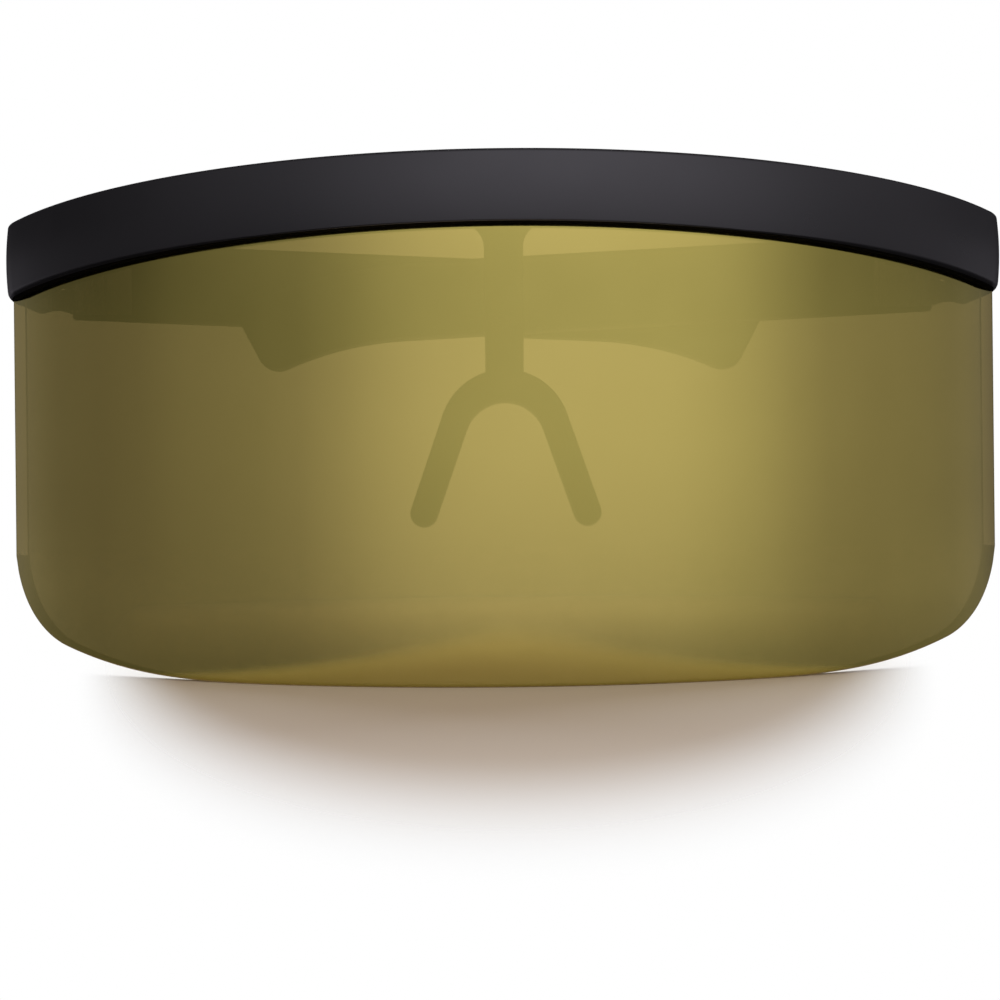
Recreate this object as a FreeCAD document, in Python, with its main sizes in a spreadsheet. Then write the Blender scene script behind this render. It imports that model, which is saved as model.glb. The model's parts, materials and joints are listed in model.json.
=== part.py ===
"""Shield sunglasses: one curved lens hung in a brow bar, a nose piece and two folding temples.

Frame: millimetres, +X to the wearer's left, +Y towards the wearer, +Z up. The origin is the
middle of the nose saddle, under the arch of the nose piece. The temples are drawn open and
then swung about their hinge pins to the folded rest pose, the left one nearer to the lens.
"""
import FreeCAD, Part
import math
import os

import Sketcher

# Driving dimensions, in millimetres and degrees.
DIMENSIONS = {
    # lens
    "lens_wrap_angle": 57.0,
    "lens_side_inset": 1.15,
    "lens_thickness": 2.0,
    "lens_drop": 37.4,
    "lens_straight_half": 30.0,
    "lens_sweep_radius": 156.0,
    "lens_corner_run": 12.05,
    "lens_side_spare": 0.2,
    "saddle_setback": 14.0,
    # brow bar
    "brow_half_width": 77.0,
    "brow_crown": 31.9,
    "brow_depth": 10.15,
    "brow_roof": 4.5,
    "brow_top_droop": 1.8,
    "brow_low_droop": 5.1,
    "brow_front_wall": 1.9,
    "brow_back_wall": 1.8,
    "brow_corner_radius": 14.0,
    "brow_front_round": 1.2,
    "brow_back_round": 0.5,
    "groove_clearance": 0.1,
    "end_piece_length": 13.8,
    "end_piece_thickness": 3.8,
    # nose piece
    "nose_foot_width": 11.0,
    "nose_foot_thickness": 2.2,
    "nose_foot_margin": 1.4,
    "nose_ribbon": 2.6,
    "nose_stem_width": 5.2,
    "nose_arch_radius": 9.1,
    "nose_arch_crown": 4.5,
    "nose_inner_radius": 5.6,
    "nose_splay_angle": 19.5,
    "nose_leg_length": 13.7,
    "nose_leg_setback": 3.8,
    "seat_clearance": 0.02,
    # hinges
    "pin_inset": 6.4,
    "pin_setback": 1.5,
    "knuckle_radius": 1.5,
    "hinge_height": 10.0,
    "knuckle_gap": 0.1,
    "leaf_thickness": 0.9,
    "leaf_length": 9.5,
    "leaf_clearance": 0.05,
    "temple_web_width": 1.8,
    "hinge_screw_radius": 0.7,
    "hinge_screw_head_radius": 1.25,
    "hinge_screw_head_height": 0.8,
    "hinge_screw_slot_width": 0.35,
    "hinge_screw_slot_depth": 0.4,
    "hinge_screw_stub": 0.3,
    "pin_clearance": 0.05,
    # rivets and small screws
    "rivet_radius": 0.55,
    "rivet_head_radius": 1.0,
    "rivet_head_height": 0.35,
    "rivet_bite": 1.0,
    "rivet_pitch": 3.6,
    "small_screw_radius": 0.6,
    "small_screw_head_radius": 1.1,
    "small_screw_head_height": 0.7,
    "small_screw_slot_width": 0.3,
    "small_screw_slot_depth": 0.35,
    "fastener_clearance": 0.02,
    "lens_hole_clearance": 0.15,
    "lens_screw_bite": 1.0,
    "lens_screw_inner_angle": 16.0,
    "lens_screw_outer_angle": 42.0,
    "nose_screw_half_pitch": 3.6,
    "nose_screw_bite": 1.5,
    # temples
    "temple_thickness": 2.6,
    "temple_height": 13.0,
    "temple_rise": 0.6,
    "temple_butt_gap": 0.3,
    "temple_straight": 88.2,
    "temple_slope_angle": 2.8,
    "hook_radius": 55.0,
    "hook_angle": 24.5,
    "temple_edge_round": 0.8,
    "tip_low_round": 3.5,
    "tip_top_round": 2.5,
    "fold_angle": 90.0,
    "fold_gap": 0.48,
    # cuts run this far past what they cut
    "overrun": 2.0,
}
LEG_TIP_ROUND_SHARE = 0.52
HALF_SHARE = 0.5
SKEW_SHARE = 0.01


class Size:
    """A number together with the sheet expression that gives it."""

    def __init__(self, value, text):
        self.value = value
        self.text = text

    def combine(self, sign, other, value):
        return Size(value, f"({self.text} {sign} {other.text})")

    def __add__(self, other):
        other = as_size(other)
        return self.combine("+", other, self.value + other.value)

    def __sub__(self, other):
        other = as_size(other)
        return self.combine("-", other, self.value - other.value)

    def __mul__(self, other):
        other = as_size(other)
        return self.combine("*", other, self.value * other.value)

    def __truediv__(self, other):
        other = as_size(other)
        return self.combine("/", other, self.value / other.value)

    def __neg__(self):
        return Size(-self.value, f"(-1 * {self.text})")


def as_size(number):
    if isinstance(number, Size):
        return number
    return Size(number, f"({number})")


def sine(angle):
    return Size(math.sin(math.radians(angle.value)), f"sin({angle.text})")


def cosine(angle):
    return Size(math.cos(math.radians(angle.value)), f"cos({angle.text})")


def root(square):
    return Size(math.sqrt(square.value), f"sqrt({square.text})")


def arc_sine(ratio):
    return Size(math.degrees(math.asin(ratio.value)), f"asin({ratio.text}) / 1 deg")


class SizeTable:
    """The sheet of driving dimensions, read as attributes."""

    def __init__(self, document, dimensions):
        sheet = document.addObject("Spreadsheet::Sheet", "sizes")
        for row, (name, value) in enumerate(dimensions.items(), start=1):
            sheet.set(f"A{row}", name)
            sheet.set(f"B{row}", str(value))
            sheet.setAlias(f"B{row}", name)
        document.recompute()
        for name, value in dimensions.items():
            setattr(self, name, Size(value, f"sizes.{name}"))


doc = FreeCAD.newDocument("shield_sunglasses")
S = SizeTable(doc, DIMENSIONS)
ZERO = as_size(0)

# Places worked out from the driving dimensions.
lens_side = S.brow_half_width - S.lens_side_inset
lens_radius = lens_side / sine(S.lens_wrap_angle)
lens_back_radius = lens_radius - S.lens_thickness
axis_y = lens_radius - S.saddle_setback
groove_front_radius = lens_radius + S.groove_clearance
groove_back_radius = lens_back_radius - S.groove_clearance
brow_front_radius = groove_front_radius + S.brow_front_wall
brow_back_radius = groove_back_radius - S.brow_back_wall
lens_side_y = axis_y - lens_radius * cosine(S.lens_wrap_angle)
end_piece_rear = lens_side_y + S.end_piece_length
end_piece_inner = S.brow_half_width - S.end_piece_thickness
brow_low = S.brow_crown - S.brow_depth
brow_end_top = S.brow_crown - S.brow_top_droop
brow_end_low = brow_low - S.brow_low_droop
lens_top = S.brow_crown - S.brow_roof
pin_x = S.brow_half_width - S.pin_inset
pin_y = end_piece_rear + S.pin_setback
hinge_z = (brow_end_top + brow_end_low) * HALF_SHARE
hinge_low = hinge_z - S.hinge_height * HALF_SHARE
hinge_top = hinge_z + S.hinge_height * HALF_SHARE
knuckle_height = (S.hinge_height - S.knuckle_gap * 2) / 3
temple_inner = S.brow_half_width - S.temple_thickness
temple_butt = end_piece_rear + S.temple_butt_gap
pin_hole_radius = S.hinge_screw_radius + S.pin_clearance
fold_lean = arc_sine((S.temple_thickness + S.fold_gap) / (pin_x * 2))

SIDES = {"left": 1, "right": -1}
made = []


def bind(item, name, size):
    item.setExpression(name, size.text)


def keep(item, label):
    """Give a finished sub-part the label that names its file."""
    item.Label = label
    made.append(item)
    return item


def new_body(name):
    return doc.addObject("PartDesign::Body", name)


def sketch_on(body, role, name, offset=ZERO):
    """An empty sketch on one of the body's origin planes, moved along its normal."""
    sketch = body.newObject("Sketcher::SketchObject", name)
    plane = next(item for item in body.Origin.OriginFeatures if item.Role == role)
    sketch.AttachmentSupport = [(plane, "")]
    sketch.MapMode = "FlatFace"
    bind(sketch, "AttachmentOffset.Base.z", offset)
    return sketch


def arc_between(start, end, radius, turn):
    """The shorter arc between two points; turn is 1 where it runs counter-clockwise."""
    chord = end - start
    half = chord.Length * HALF_SHARE
    left = FreeCAD.Vector(-chord.y, chord.x, 0).normalize()
    rise = math.sqrt(max(radius * radius - half * half, 0))
    centre = (start + end) * HALF_SHARE + left * (rise * turn)
    first, last = (start, end) if turn > 0 else (end, start)
    begin = math.atan2(first.y - centre.y, first.x - centre.x)
    finish = math.atan2(last.y - centre.y, last.x - centre.x)
    if finish < begin:
        finish += 2 * math.pi
    circle = Part.Circle(centre, FreeCAD.Vector(0, 0, 1), radius)
    return Part.ArcOfCircle(circle, begin, finish)


def draw(sketch, path):
    """A closed outline. Each entry is (x, y), or (x, y, radius, turn) where an arc leads to it."""
    points = [FreeCAD.Vector(step[0].value, step[1].value, 0) for step in path]
    ends = []
    for index, step in enumerate(path):
        start, end = points[index - 1], points[index]
        if len(step) == 2:
            edge = sketch.addGeometry(Part.LineSegment(start, end), False)
            ends.append((edge, 1, 2))
            continue
        radius, turn = step[2], step[3]
        edge = sketch.addGeometry(arc_between(start, end, radius.value, turn), False)
        ends.append((edge, 1, 2) if turn > 0 else (edge, 2, 1))
        hold(sketch, Sketcher.Constraint("Radius", edge, radius.value), radius)
    for index, (edge, _, far) in enumerate(ends):
        following, start, _ = ends[(index + 1) % len(ends)]
        sketch.addConstraint(Sketcher.Constraint("Coincident", edge, far, following, start))
        x, y = path[index][0], path[index][1]
        hold(sketch, Sketcher.Constraint("DistanceX", -1, 1, edge, far, x.value), x)
        hold(sketch, Sketcher.Constraint("DistanceY", -1, 1, edge, far, y.value), y)


def hold(sketch, constraint, size):
    """Add a constraint whose value follows the sheet."""
    index = sketch.addConstraint(constraint)
    bind(sketch, f"Constraints[{index}]", size)


def pad(body, sketch, length, name, side_type="One side", reverse=False):
    feature = body.newObject("PartDesign::Pad", name)
    feature.Profile = sketch
    feature.SideType = side_type
    feature.Reversed = reverse
    bind(feature, "Length", length)
    return feature


def pocket_through(body, sketch, name, side_type="Symmetric", reverse=False):
    feature = body.newObject("PartDesign::Pocket", name)
    feature.Profile = sketch
    feature.Type = "ThroughAll"
    feature.SideType = side_type
    feature.Reversed = reverse
    return feature


def trim(body, path, half_width, low, high, name):
    """Cut away all that lies outside an outline in the front view, within a frame round it."""
    sketch = sketch_on(body, "XZ_Plane", f"{name}_outline")
    draw(sketch, [(-half_width, low), (half_width, low), (half_width, high), (-half_width, high)])
    draw(sketch, path)
    return pocket_through(body, sketch, name)


def pocket(body, sketch, depth, name, reverse=False):
    feature = body.newObject("PartDesign::Pocket", name)
    feature.Profile = sketch
    feature.Reversed = reverse
    bind(feature, "Length", depth)
    return feature


def round_edges(body, base, radius, name, wanted):
    """Fillet the edges of the base feature for which wanted(edge) is true."""
    doc.recompute()
    names = [f"Edge{index}" for index, edge in enumerate(base.Shape.Edges, start=1) if wanted(edge)]
    feature = body.newObject("PartDesign::Fillet", name)
    feature.Base = (base, names)
    bind(feature, "Radius", radius)
    return feature


def middle(edge):
    return edge.valueAt((edge.FirstParameter + edge.LastParameter) * HALF_SHARE)


def near(value, target):
    return abs(value - target) < S.seat_clearance.value


def from_axis(edge):
    """Distance in plan from the lens axis to the middle of an edge."""
    spot = middle(edge)
    return math.hypot(spot.x, spot.y - axis_y.value)


def runs_along(edge, direction):
    """True for a straight edge along a direction, either way."""
    return isinstance(edge.Curve, Part.Line) and edge.Curve.Direction.cross(direction).Length < SKEW_SHARE


def is_upright(edge):
    return runs_along(edge, FreeCAD.Vector(0, 0, 1))


def is_level(edge):
    """True for a straight edge across the thickness of a temple."""
    return runs_along(edge, FreeCAD.Vector(1, 0, 0))


def on_arc(radius, angle, turn=1):
    """A plan point at an angle from straight ahead, on a circle about the lens axis."""
    return radius * sine(angle) * turn, axis_y - radius * cosine(angle)


def sector(front_radius, back_radius, angle):
    """Plan outline of a curved strip about the lens axis."""
    right_front = on_arc(front_radius, angle, -1)
    left_front = on_arc(front_radius, angle)
    left_back = on_arc(back_radius, angle)
    right_back = on_arc(back_radius, angle, -1)
    return [right_front, left_front + (front_radius, 1), left_back, right_back + (back_radius, -1)]


def droop_radius(droop):
    """Radius of an arch that falls by droop over half the brow's width."""
    return (S.brow_half_width * S.brow_half_width + droop * droop) / (droop * 2)


def arch_height(crown, radius, reach):
    """Height of an arch at a distance from its middle."""
    return crown - radius + root(radius * radius - reach * reach)


def cylinder(name, radius, height, base, direction):
    """A round solid that starts at base and runs along direction."""
    item = doc.addObject("Part::Cylinder", name)
    bind(item, "Radius", radius)
    bind(item, "Height", height)
    spot = FreeCAD.Vector(base[0].value, base[1].value, base[2].value)
    item.Placement = FreeCAD.Placement(spot, FreeCAD.Rotation(FreeCAD.Vector(0, 0, 1), direction))
    return item


def box(name, low, size, side=1):
    """A block given by its low corner on the wearer's left; side -1 makes its mirror image."""
    item = doc.addObject("Part::Box", name)
    bind(item, "Length", size[0])
    bind(item, "Width", size[1])
    bind(item, "Height", size[2])
    bind(item, "Placement.Base.x", low[0] if side > 0 else -(low[0] + size[0]))
    bind(item, "Placement.Base.y", low[1])
    bind(item, "Placement.Base.z", low[2])
    return item


def fuse(name, items):
    joined = doc.addObject("Part::MultiFuse", name)
    joined.Shapes = items
    return joined


def group(name, items):
    """Separate solids that share one sub-part."""
    joined = doc.addObject("Part::Compound", name)
    joined.Links = items
    return joined


def cut(name, base, tools):
    result = doc.addObject("Part::Cut", name)
    result.Base = base
    result.Tool = tools[0] if len(tools) == 1 else fuse(f"{name}_tools", tools)
    return result


def fastener(name, seat, direction, shank, head, slot=None):
    """A headed pin: its shank runs along direction from the seat, its head stands behind it.

    shank and head are (radius, length); slot is (width, depth) of a driver slot in the head.
    """
    back = [seat[axis] - head[1] * direction[axis] for axis in range(3)]
    way = FreeCAD.Vector(*[share.value for share in direction])
    solid = fuse(f"{name}_solid", [
        cylinder(f"{name}_shank", shank[0], shank[1], seat, way),
        cylinder(f"{name}_head", head[0], head[1], back, way),
    ])
    if slot is None:
        return solid
    blade = doc.addObject("Part::Box", f"{name}_slot")
    bind(blade, "Length", slot[0])
    bind(blade, "Width", head[0] * 4)
    bind(blade, "Height", slot[1] * 2)
    corner = FreeCAD.Vector(-slot[0].value, -head[0].value * 4, -slot[1].value * 2) * HALF_SHARE
    turn = FreeCAD.Rotation(FreeCAD.Vector(0, 0, 1), way)
    spot = FreeCAD.Vector(*[part.value for part in back])
    blade.Placement = FreeCAD.Placement(spot + turn.multVec(corner), turn)
    return cut(name, solid, [blade])


SMALL_HEAD = (S.small_screw_head_radius, S.small_screw_head_height)
SMALL_SLOT = (S.small_screw_slot_width, S.small_screw_slot_depth)


def lens_screw_stations():
    """Angles from straight ahead of the screws that hold the lens in its groove."""
    outer, inner = S.lens_screw_outer_angle, S.lens_screw_inner_angle
    return [-outer, -inner, inner, outer]


def lens_screw_height():
    return (lens_top + brow_low) * HALF_SHARE


def along_arc(angle):
    """The way out from the lens axis at an angle from straight ahead."""
    return [sine(angle), -cosine(angle), ZERO]


def arc_spot(radius, angle, height):
    return [radius * sine(angle), axis_y - radius * cosine(angle), height]


def lens_screw_holes(name, radius):
    """Cutters along the lens screws, from behind the brow bar into its front wall."""
    start = brow_back_radius - S.overrun
    reach = groove_front_radius + S.lens_screw_bite + S.fastener_clearance - start
    cutters = []
    for index, angle in enumerate(lens_screw_stations(), start=1):
        spot = arc_spot(start, angle, lens_screw_height())
        way = FreeCAD.Vector(*[share.value for share in along_arc(angle)])
        cutters.append(cylinder(f"{name}_{index}", radius, reach, spot, way))
    return cutters


def lens_outline():
    """Front view of the lens: a straight lower edge with swept, rounded corners."""
    side = lens_side + S.lens_side_spare
    sweep_radius = S.lens_sweep_radius
    sweep_run = side - S.lens_straight_half - S.lens_corner_run
    rise = sweep_radius - root(sweep_radius * sweep_radius - sweep_run * sweep_run)
    lean = sweep_run / sweep_radius
    sweep_x = S.lens_straight_half + sweep_run
    sweep_z = rise - S.lens_drop
    corner = S.lens_corner_run / (as_size(1) - lean)
    corner_z = sweep_z + corner * root(as_size(1) - lean * lean)
    top = lens_top + S.overrun
    return [
        (-S.lens_straight_half, -S.lens_drop, sweep_radius, 1),
        (S.lens_straight_half, -S.lens_drop),
        (sweep_x, sweep_z, sweep_radius, 1),
        (side, corner_z, corner, 1),
        (side, top),
        (-side, top),
        (-side, corner_z),
        (-sweep_x, sweep_z, corner, 1),
    ]


def make_lens():
    """A bent sheet, cut from the front to its outline."""
    body = new_body("lens_body")
    plan = sketch_on(body, "XY_Plane", "lens_plan", -S.lens_drop - S.overrun)
    draw(plan, sector(lens_radius, lens_back_radius, S.lens_wrap_angle))
    pad(body, plan, S.lens_drop + S.overrun + lens_top, "lens_blank")
    frame_half = S.brow_half_width + S.overrun
    frame_low = -S.lens_drop - S.overrun * 2
    frame_top = lens_top + S.overrun * 2
    trim(body, lens_outline(), frame_half, frame_low, frame_top, "lens_trim")

    holes = lens_screw_holes("lens_hole", S.small_screw_radius + S.lens_hole_clearance)
    return keep(cut("lens_drilled", body, holes), "lens")


def brow_plan():
    """Plan of the brow bar: a curved strip whose ends turn straight back into end pieces."""
    reach = brow_front_radius - S.brow_corner_radius
    across = S.brow_half_width - S.brow_corner_radius
    back = root(reach * reach - across * across)
    bend_x = across * brow_front_radius / reach
    bend_y = axis_y - back * brow_front_radius / reach
    straight_y = axis_y - back
    inner_y = axis_y - root(brow_back_radius * brow_back_radius - end_piece_inner * end_piece_inner)
    return [
        (-bend_x, bend_y, S.brow_corner_radius, 1),
        (bend_x, bend_y, brow_front_radius, 1),
        (S.brow_half_width, straight_y, S.brow_corner_radius, 1),
        (S.brow_half_width, end_piece_rear),
        (end_piece_inner, end_piece_rear),
        (end_piece_inner, inner_y),
        (-end_piece_inner, inner_y, brow_back_radius, -1),
        (-end_piece_inner, end_piece_rear),
        (-S.brow_half_width, end_piece_rear),
        (-S.brow_half_width, straight_y),
    ]


def is_outer(edge):
    """True on the front and outer walls of the brow bar."""
    spot = middle(edge)
    if near(from_axis(edge), brow_front_radius.value) or near(abs(spot.x), S.brow_half_width.value):
        return True
    centre_x = S.brow_half_width.value - S.brow_corner_radius.value
    reach = brow_front_radius.value - S.brow_corner_radius.value
    centre_y = axis_y.value - math.sqrt(reach * reach - centre_x * centre_x)
    from_corner = math.hypot(abs(spot.x) - centre_x, spot.y - centre_y)
    return near(from_corner, S.brow_corner_radius.value) and abs(spot.x) > centre_x


def is_inner(edge):
    """True on the curved back wall of the brow bar."""
    return near(from_axis(edge), brow_back_radius.value)


def make_brow_bar():
    """The channel that holds the lens: arched above and below, with rounded front edges."""
    body = new_body("brow_body")
    base_z = brow_end_low - S.overrun
    plan = sketch_on(body, "XY_Plane", "brow_plan", base_z)
    draw(plan, brow_plan())
    pad(body, plan, S.brow_crown + S.overrun - base_z, "brow_blank")

    reach = S.brow_half_width + S.overrun
    top_radius = droop_radius(S.brow_top_droop)
    top_z = arch_height(S.brow_crown, top_radius, reach)
    above = S.brow_crown + S.overrun * 2
    top = sketch_on(body, "XZ_Plane", "brow_top_line")
    draw(top, [(-reach, top_z, top_radius, 1), (-reach, above), (reach, above), (reach, top_z)])
    pocket_through(body, top, "brow_top_cut")

    low_radius = droop_radius(S.brow_low_droop)
    low_z = arch_height(brow_low, low_radius, reach)
    below = base_z - S.overrun
    low = sketch_on(body, "XZ_Plane", "brow_low_line")
    draw(low, [(-reach, low_z, low_radius, 1), (-reach, below), (reach, below), (reach, low_z)])
    shaped = pocket_through(body, low, "brow_low_cut")

    rounded = round_edges(
        body, shaped, S.brow_front_round, "brow_front_edges",
        lambda edge: is_outer(edge) and not is_upright(edge))
    round_edges(
        body, rounded, S.brow_back_round, "brow_back_edges",
        lambda edge: is_inner(edge) and not is_upright(edge))

    groove = sketch_on(body, "XY_Plane", "lens_groove_plan", lens_top + S.groove_clearance)
    groove_angle = S.lens_wrap_angle + S.groove_clearance / lens_radius * (180 / math.pi)
    draw(groove, sector(groove_front_radius, groove_back_radius, groove_angle))
    pocket_through(body, groove, "lens_groove", "One side")

    for label, side in SIDES.items():
        seat = sketch_on(body, "YZ_Plane", f"leaf_seat_{label}", end_piece_inner * side)
        rear = end_piece_rear + S.overrun
        front = end_piece_rear - S.leaf_length - S.leaf_clearance
        low_edge = hinge_low - S.leaf_clearance
        top_edge = hinge_top + S.leaf_clearance
        draw(seat, [(front, low_edge), (rear, low_edge), (rear, top_edge), (front, top_edge)])
        pocket(body, seat, S.leaf_thickness + S.leaf_clearance, f"leaf_pocket_{label}", side > 0)

    cutters = lens_screw_holes("brow_hole", S.small_screw_radius + S.fastener_clearance)
    cutters += [
        cylinder(
            f"nose_hole_{label}", S.small_screw_radius + S.fastener_clearance,
            S.nose_foot_thickness + S.nose_screw_bite + S.fastener_clearance,
            nose_screw_seat(side), FreeCAD.Vector(0, -1, 0))
        for label, side in SIDES.items()
    ]
    for label, side in SIDES.items():
        cutters += rivet_holes(f"end_piece_hole_{label}", side, end_piece_inner, front_rivets())
    return keep(cut("brow_drilled", body, cutters), "brow_bar")


def nose_seat_y():
    """Front plane of the nose piece's foot, against the hollow back of the brow bar."""
    half = S.nose_foot_width * HALF_SHARE
    return axis_y - root(brow_back_radius * brow_back_radius - half * half) + S.seat_clearance


def nose_foot_back():
    return nose_seat_y() + S.nose_foot_thickness


def nose_screw_height():
    return (S.brow_crown + brow_low) * HALF_SHARE


def nose_screw_seat(side):
    return [S.nose_screw_half_pitch * side, nose_foot_back(), nose_screw_height()]


def make_nose_piece():
    """A bent strip: a foot behind the brow, a stem, and an arch with two splayed legs."""
    half_strip = S.nose_ribbon * HALF_SHARE
    front = nose_seat_y()
    foot_top = S.brow_crown - S.nose_foot_margin
    foot_low = brow_low + S.nose_foot_margin
    leg_low = -(S.nose_arch_radius + S.nose_leg_length + S.overrun)
    leg_y = S.nose_leg_setback
    body = new_body("nose_body")
    bend = sketch_on(body, "YZ_Plane", "nose_side_view")
    draw(bend, [
        (front, foot_top),
        (front, foot_low),
        (-half_strip, ZERO),
        (leg_y - half_strip, leg_low),
        (leg_y + half_strip, leg_low),
        (half_strip, ZERO),
        (nose_foot_back(), foot_low),
        (nose_foot_back(), foot_top),
    ])
    half_width = S.nose_arch_radius + S.nose_leg_length
    pad(body, bend, half_width * 2, "nose_blank", "Symmetric")
    outline = nose_outline(foot_top, foot_low)
    frame_half, frame_top = half_width + S.overrun, foot_top + S.overrun
    trim(body, outline, frame_half, leg_low - S.overrun, frame_top, "nose_trim")

    holes = [
        cylinder(
            f"nose_foot_hole_{label}", S.small_screw_radius + S.fastener_clearance,
            S.nose_foot_thickness + S.overrun * 2,
            [S.nose_screw_half_pitch * side, nose_foot_back() + S.overrun, nose_screw_height()],
            FreeCAD.Vector(0, -1, 0))
        for label, side in SIDES.items()
    ]
    return keep(cut("nose_drilled", body, holes), "nose_piece")


def nose_outline(foot_top, foot_low):
    """Front view of the nose piece, both halves from the same points."""
    foot = S.nose_foot_width * HALF_SHARE
    stem = S.nose_stem_width * HALF_SHARE
    flare = foot - stem
    arch_z = S.nose_arch_crown - S.nose_arch_radius
    inner_z = -S.nose_inner_radius
    along_x, along_z = sine(S.nose_splay_angle), -cosine(S.nose_splay_angle)
    out_x, out_z = cosine(S.nose_splay_angle), sine(S.nose_splay_angle)
    stem_z = arch_z + root(S.nose_arch_radius * S.nose_arch_radius - stem * stem)
    outer = (out_x * S.nose_arch_radius, arch_z + out_z * S.nose_arch_radius)
    outer_end = (outer[0] + along_x * S.nose_leg_length, outer[1] + along_z * S.nose_leg_length)
    leg_width = S.nose_arch_radius - S.nose_inner_radius + (arch_z - inner_z) * out_z
    inner = (out_x * S.nose_inner_radius, inner_z + out_z * S.nose_inner_radius)
    inner_end = (outer_end[0] - out_x * leg_width, outer_end[1] - out_z * leg_width)
    tip = leg_width * LEG_TIP_ROUND_SHARE
    return [
        (foot, foot_top),
        (-foot, foot_top),
        (-foot, foot_low),
        (-stem, foot_low - flare, flare, -1),
        (-stem, stem_z),
        (-outer[0], outer[1], S.nose_arch_radius, 1),
        (-outer_end[0], outer_end[1]),
        (-inner_end[0], inner_end[1], tip, 1),
        (-inner[0], inner[1]),
        (inner[0], inner[1], S.nose_inner_radius, -1),
        inner_end,
        outer_end + (tip, 1),
        outer,
        (stem, stem_z, S.nose_arch_radius, 1),
        (stem, foot_low - flare),
        (foot, foot_low, flare, -1),
    ]


def front_rivets():
    """Distances behind the saddle of the rivets in an end piece."""
    middle_y = end_piece_rear - S.leaf_length * HALF_SHARE
    half = S.rivet_pitch * HALF_SHARE
    return [middle_y - half, middle_y + half]


def temple_rivets():
    """Distances behind the saddle of the rivets in a temple, drawn open."""
    middle_y = temple_butt + S.temple_butt_gap + S.leaf_length * HALF_SHARE
    half = S.rivet_pitch * HALF_SHARE
    return [middle_y - half, middle_y + half]


def rivet_length():
    return S.leaf_thickness + S.rivet_bite


def rivet_holes(name, side, face_x, stations):
    """Cutters for the rivets that go outward from a face of constant X."""
    return [
        cylinder(
            f"{name}_{index}", S.rivet_radius + S.fastener_clearance,
            rivet_length() + S.overrun + S.fastener_clearance,
            [(face_x - S.overrun) * side, station, hinge_z], FreeCAD.Vector(side, 0, 0))
        for index, station in enumerate(stations, start=1)
    ]


def make_rivets(name, side, face_x, stations):
    """Two rivets through a hinge leaf into the plastic behind it."""
    rivets = [
        fastener(
            f"{name}_{index}",
            [(face_x - S.fastener_clearance) * side, station, hinge_z],
            [as_size(side), ZERO, ZERO],
            (S.rivet_radius, rivet_length()), (S.rivet_head_radius, S.rivet_head_height))
        for index, station in enumerate(stations, start=1)
    ]
    return keep(group(f"{name}_pair", rivets), name)


def knuckle(name, side, low):
    base = [pin_x * side, pin_y, low]
    return cylinder(name, S.knuckle_radius, knuckle_height, base, FreeCAD.Vector(0, 0, 1))


def pin_hole(name, side):
    base = [pin_x * side, pin_y, hinge_low - S.overrun]
    height = S.hinge_height + S.overrun * 2
    return cylinder(name, pin_hole_radius, height, base, FreeCAD.Vector(0, 0, 1))


def make_front_hinge(label, side):
    """Leaf let into the end piece, with the upper and lower knuckles."""
    name = f"front_hinge_{label}"
    leaf = box(
        f"{name}_leaf", [end_piece_inner, end_piece_rear - S.leaf_length, hinge_low],
        [S.leaf_thickness, S.leaf_length, S.hinge_height], side)
    solids = [leaf]
    web_depth = S.pin_setback + S.knuckle_radius
    for place, low in (("low", hinge_low), ("top", hinge_top - knuckle_height)):
        web = box(
            f"{name}_web_{place}", [pin_x, pin_y - web_depth, low],
            [end_piece_inner + S.leaf_thickness - pin_x, S.knuckle_radius, knuckle_height], side)
        heel = box(
            f"{name}_heel_{place}", [pin_x - S.knuckle_radius, pin_y - web_depth, low],
            [S.knuckle_radius * 2, web_depth, knuckle_height], side)
        solids += [web, heel, knuckle(f"{name}_knuckle_{place}", side, low)]
    holes = [pin_hole(f"{name}_pin_hole", side)]
    holes += rivet_holes(f"{name}_rivet_hole", side, end_piece_inner, front_rivets())
    return keep(cut(f"{name}_drilled", fuse(f"{name}_solid", solids), holes), name)


def make_temple_hinge(label, side):
    """Leaf let into the temple, with the middle knuckle."""
    name = f"temple_hinge_{label}"
    low = hinge_low + knuckle_height + S.knuckle_gap
    leaf_y = temple_butt + S.temple_butt_gap
    solids = [
        box(f"{name}_leaf", [temple_inner, leaf_y, hinge_low],
            [S.leaf_thickness, S.leaf_length, S.hinge_height], side),
        box(f"{name}_web", [pin_x, pin_y - S.temple_web_width * HALF_SHARE, low],
            [temple_inner + S.leaf_thickness - pin_x, S.temple_web_width, knuckle_height], side),
        knuckle(f"{name}_knuckle", side, low),
    ]
    holes = [pin_hole(f"{name}_pin_hole", side)]
    holes += rivet_holes(f"{name}_rivet_hole", side, temple_inner, temple_rivets())
    return keep(cut(f"{name}_drilled", fuse(f"{name}_solid", solids), holes), name)


def make_hinge_screw(label, side):
    """Slotted screw down through the knuckles."""
    name = f"hinge_screw_{label}"
    seat = [pin_x * side, pin_y, hinge_top + S.fastener_clearance]
    screw = fastener(
        name, seat, [ZERO, ZERO, as_size(-1)],
        (S.hinge_screw_radius, S.hinge_height + S.hinge_screw_stub),
        (S.hinge_screw_head_radius, S.hinge_screw_head_height),
        (S.hinge_screw_slot_width, S.hinge_screw_slot_depth))
    return keep(screw, name)


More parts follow.
